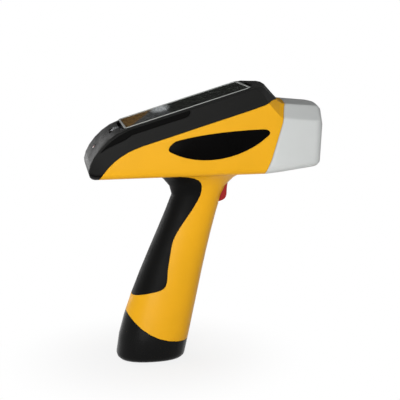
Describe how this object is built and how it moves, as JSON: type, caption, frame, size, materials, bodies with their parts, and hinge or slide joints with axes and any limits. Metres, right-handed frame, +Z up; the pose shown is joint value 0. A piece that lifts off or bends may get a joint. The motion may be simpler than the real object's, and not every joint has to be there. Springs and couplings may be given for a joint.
{
  "type": "handheld xrf analyzer",
  "caption": "Pistol-shaped X-ray fluorescence analyser: yellow head and raked handle, pale nose, red trigger, pocket terminal cradled on the sloping top, slide-in battery foot.",
  "frame": {"origin": "centre of the handle where the palm closes on it, on the middle plane", "axes": "+X towards the nose (the way the instrument points), +Y towards the left-hand side, +Z up; the handle's foot is at -Z"},
  "size_m": [0.2375, 0.089, 0.2855],
  "materials": {
    "yellow_shell": "satin paint",
    "cover_plastic": "fine satin",
    "nose_plastic": "satin",
    "grip_rubber": "soft sheen",
    "foot_plastic": "satin",
    "trigger_red": "satin",
    "plate_black": "polished",
    "bezel_silver": "bead blasted",
    "case_black": "satin",
    "screen_glass": "polished",
    "display_dark": "dark, unlit",
    "lens_red": "clear moulded",
    "latch_grey": "satin",
    "spring_steel": "drawn wire",
    "screw_steel": "blackened",
    "pin_steel": "ground",
    "aluminium_part": "milled",
    "supply_case": "potted",
    "board_green": "solder resist",
    "connector_black": "moulded",
    "tube_steel": "polished",
    "disc_copper": "rolled foil",
    "film_amber": "stretched film",
    "battery_case": "moulded",
    "contact_brass": "gold plated"
  },
  "bodies": {
    "housing": {"right_shell": "yellow_shell", "left_shell": "yellow_shell", "top_cover": "cover_plastic", "nose_boot": "nose_plastic", "rubber_grip": "grip_rubber", "right_side_plate": "plate_black", "left_side_plate": "plate_black", "status_lens": "lens_red", "lens_ring": "cover_plastic", "cover_screws": "screw_steel", "housing_screws": "screw_steel", "latch_spring": "spring_steel", "dock_connector": "connector_black", "trigger_pin": "pin_steel", "trigger_spring": "spring_steel", "trigger_switch": "connector_black", "battery_contacts": "contact_brass", "chassis": "aluminium_part", "high_voltage_supply": "supply_case", "main_board": "board_green", "measuring_block": "aluminium_part", "xray_tube": "tube_steel", "detector": "tube_steel", "detector_cooler": "aluminium_part", "filter_motor": "screw_steel", "window_plate": "case_black", "window_film": "film_amber", "plate_screws": "pin_steel", "plunger_spring": "spring_steel"},
    "trigger": {"trigger": "trigger_red"},
    "battery": {"battery_pack": "battery_case", "base_cap": "foot_plastic", "foot_screws": "screw_steel"},
    "terminal": {"terminal_case": "case_black", "terminal_bezel": "bezel_silver", "terminal_glass": "screen_glass", "terminal_display": "display_dark"},
    "latch": {"terminal_latch": "latch_grey"},
    "wheel": {"filter_wheel": "aluminium_part", "filter_discs": "disc_copper"},
    "plunger": {"proximity_plunger": "connector_black"}
  },
  "joints": [
    {"name": "trigger_pull", "type": "hinge", "parent": "housing", "child": "trigger", "pos_m": [0.0355, 0, 0.0605], "axis": [0, 1, 0], "range_deg": [0, 7], "stiffness_Nm_per_rad": 0.5, "deforming": ["trigger_spring"]},
    {"name": "battery_out", "type": "slide", "parent": "housing", "child": "battery", "axis": [-0.2924, 0, -0.9563], "range_m": [0, 0.125]},
    {"name": "terminal_lift", "type": "slide", "parent": "housing", "child": "terminal", "axis": [-0.2823, 0, 0.9593], "range_m": [0, 0.02]},
    {"name": "latch_slide", "type": "slide", "parent": "housing", "child": "latch", "axis": [-0.9593, 0, -0.2823], "range_m": [0, 0.002], "stiffness_N_per_m": 200, "springref_m": -0.002, "deforming": ["latch_spring"]},
    {"name": "plunger_press", "type": "slide", "parent": "housing", "child": "plunger", "axis": [-0.9981, 0, 0.0624], "range_m": [0, 0.0025], "stiffness_N_per_m": 100, "springref_m": -0.002, "deforming": ["plunger_spring"]},
    {"name": "wheel_turn", "type": "hinge", "parent": "housing", "child": "wheel", "pos_m": [0.13002, 0.013, 0.10053], "axis": [0.9981, 0, -0.0624], "continuous": true}
  ]
}
